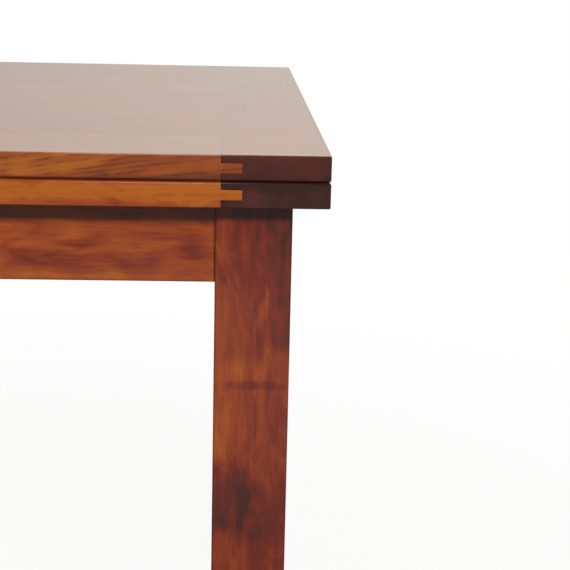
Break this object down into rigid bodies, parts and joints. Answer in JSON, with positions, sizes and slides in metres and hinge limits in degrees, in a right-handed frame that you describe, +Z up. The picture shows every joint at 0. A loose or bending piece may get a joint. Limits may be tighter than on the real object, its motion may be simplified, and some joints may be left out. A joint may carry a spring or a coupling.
{
  "type": "fold-over extending dining table",
  "caption": "Square hardwood dining table whose folded double top slides forward on wooden runners; its upper leaf then turns over on flush brass hinges to double the depth.",
  "frame": {"origin": "on the floor under the middle of the closed table", "axes": "+Z up, -Y to the front, where the top slides out, X along the grain of the top's boards"},
  "size_m": [0.9, 0.9, 0.76],
  "materials": {
    "board_wood": "chestnut stain under satin lacquer, face grain along the boards",
    "breadboard_wood": "chestnut stain under satin lacquer, grain across the boards, dark end grain",
    "leg_wood": "chestnut stain under satin lacquer",
    "apron_wood": "chestnut stain under satin lacquer",
    "frame_wood": "bare planed hardwood, hidden under the top",
    "felt": "pressed felt strip",
    "glide_nylon": "moulded nylon",
    "hinge_brass": "lacquered, satin",
    "pin_steel": "plated"
  },
  "bodies": {
    "frame": {"leg_front_left": "leg_wood", "leg_front_right": "leg_wood", "leg_back_left": "leg_wood", "leg_back_right": "leg_wood", "apron_front": "apron_wood", "apron_back": "apron_wood", "apron_left": "apron_wood", "apron_right": "apron_wood", "corner_brace_front_left": "frame_wood", "corner_brace_front_right": "frame_wood", "corner_brace_back_left": "frame_wood", "corner_brace_back_right": "frame_wood", "guide_rail_left": "frame_wood", "guide_rail_right": "frame_wood", "rail_felt_left": "felt", "rail_felt_right": "felt", "apron_felt_front": "felt", "apron_felt_back": "felt", "floor_glide_front_left": "glide_nylon", "floor_glide_front_right": "glide_nylon", "floor_glide_back_left": "glide_nylon", "floor_glide_back_right": "glide_nylon"},
    "lower_leaf": {"lower_leaf_board_1": "board_wood", "lower_leaf_board_2": "board_wood", "lower_leaf_board_3": "board_wood", "lower_leaf_board_4": "board_wood", "lower_leaf_board_5": "board_wood", "lower_leaf_board_6": "board_wood", "lower_leaf_board_7": "board_wood", "lower_leaf_breadboard_left": "breadboard_wood", "lower_leaf_breadboard_right": "breadboard_wood", "hinge_plate_lower_left": "hinge_brass", "hinge_plate_lower_middle": "hinge_brass", "hinge_plate_lower_right": "hinge_brass", "hinge_pin_lower_left": "pin_steel", "hinge_pin_lower_middle": "pin_steel", "hinge_pin_lower_right": "pin_steel", "runner_left": "frame_wood", "runner_right": "frame_wood"},
    "hinge_links": {"hinge_link_left": "hinge_brass", "hinge_link_middle": "hinge_brass", "hinge_link_right": "hinge_brass"},
    "upper_leaf": {"upper_leaf_board_1": "board_wood", "upper_leaf_board_2": "board_wood", "upper_leaf_board_3": "board_wood", "upper_leaf_board_4": "board_wood", "upper_leaf_board_5": "board_wood", "upper_leaf_board_6": "board_wood", "upper_leaf_board_7": "board_wood", "upper_leaf_breadboard_left": "breadboard_wood", "upper_leaf_breadboard_right": "breadboard_wood", "hinge_plate_upper_left": "hinge_brass", "hinge_plate_upper_middle": "hinge_brass", "hinge_plate_upper_right": "hinge_brass", "hinge_pin_upper_left": "pin_steel", "hinge_pin_upper_middle": "pin_steel", "hinge_pin_upper_right": "pin_steel"}
  },
  "joints": [
    {"name": "top_slide", "type": "slide", "parent": "frame", "child": "lower_leaf", "axis": [0, -1, 0], "range_m": [0, 0.45]},
    {"name": "link_turn", "type": "hinge", "parent": "lower_leaf", "child": "hinge_links", "pos_m": [0, 0.4469, 0.7312], "axis": [-1, 0, 0], "range_deg": [0, 90]},
    {"name": "leaf_turn", "type": "hinge", "parent": "hinge_links", "child": "upper_leaf", "pos_m": [0, 0.4469, 0.7382], "axis": [-1, 0, 0], "range_deg": [0, 90]}
  ]
}
